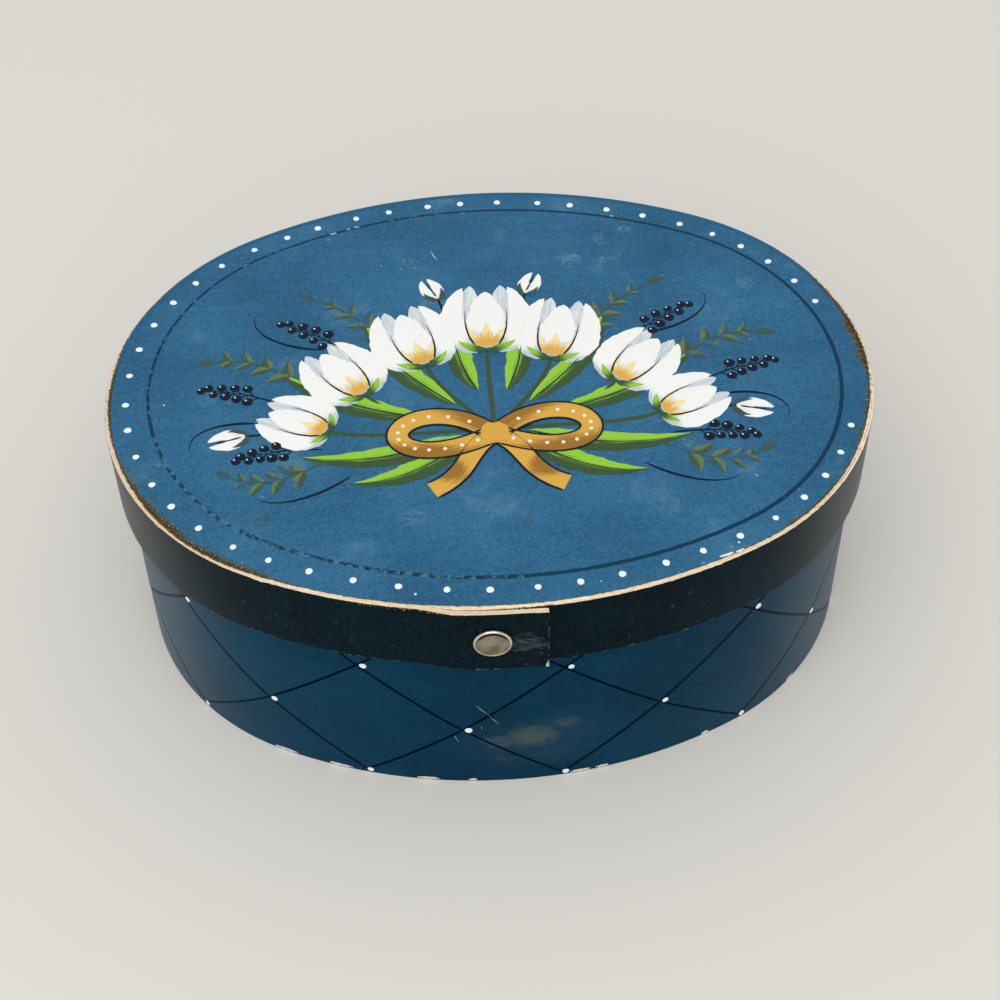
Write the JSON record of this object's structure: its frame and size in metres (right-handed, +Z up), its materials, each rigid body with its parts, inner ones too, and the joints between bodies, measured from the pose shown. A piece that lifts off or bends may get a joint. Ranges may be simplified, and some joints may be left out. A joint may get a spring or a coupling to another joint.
{
  "type": "oval bentwood keepsake box",
  "caption": "Oval bentwood keepsake box: a bent, lapped and riveted veneer side with an inset bottom, and a lift-off lid with a deep riveted rim.",
  "frame": {"origin": "middle of the oval on the underside of the box, where it rests", "axes": "+X along the oval's length, -Y to the front, where the lid's rim is lapped and riveted, +Z up"},
  "size_m": [0.19, 0.149, 0.071],
  "materials": {
    "lid_paint": "matte blue paint on thin plywood, with painted ornament",
    "rim_paint": "matte near-black paint on veneer, worn through along the top edge",
    "side_paint": "matte blue paint on veneer with a painted lattice, chipped at the lower edge",
    "bare_wood": "bare sanded wood",
    "nickel": "nickel-plated steel, lightly dulled",
    "steel_wire": "bright steel wire"
  },
  "bodies": {
    "box": {"box_side_band": "side_paint", "box_bottom_panel": "bare_wood", "box_lap_rivets": "nickel", "bottom_panel_brads": "steel_wire"},
    "lid": {"lid_top_panel": "lid_paint", "lid_rim_band": "rim_paint", "lid_rivet": "nickel", "lid_panel_brads": "steel_wire"}
  },
  "joints": [
    {"name": "lid_lift", "type": "slide", "parent": "box", "child": "lid", "axis": [0, 0, 1], "range_m": [0, 0.06]}
  ]
}
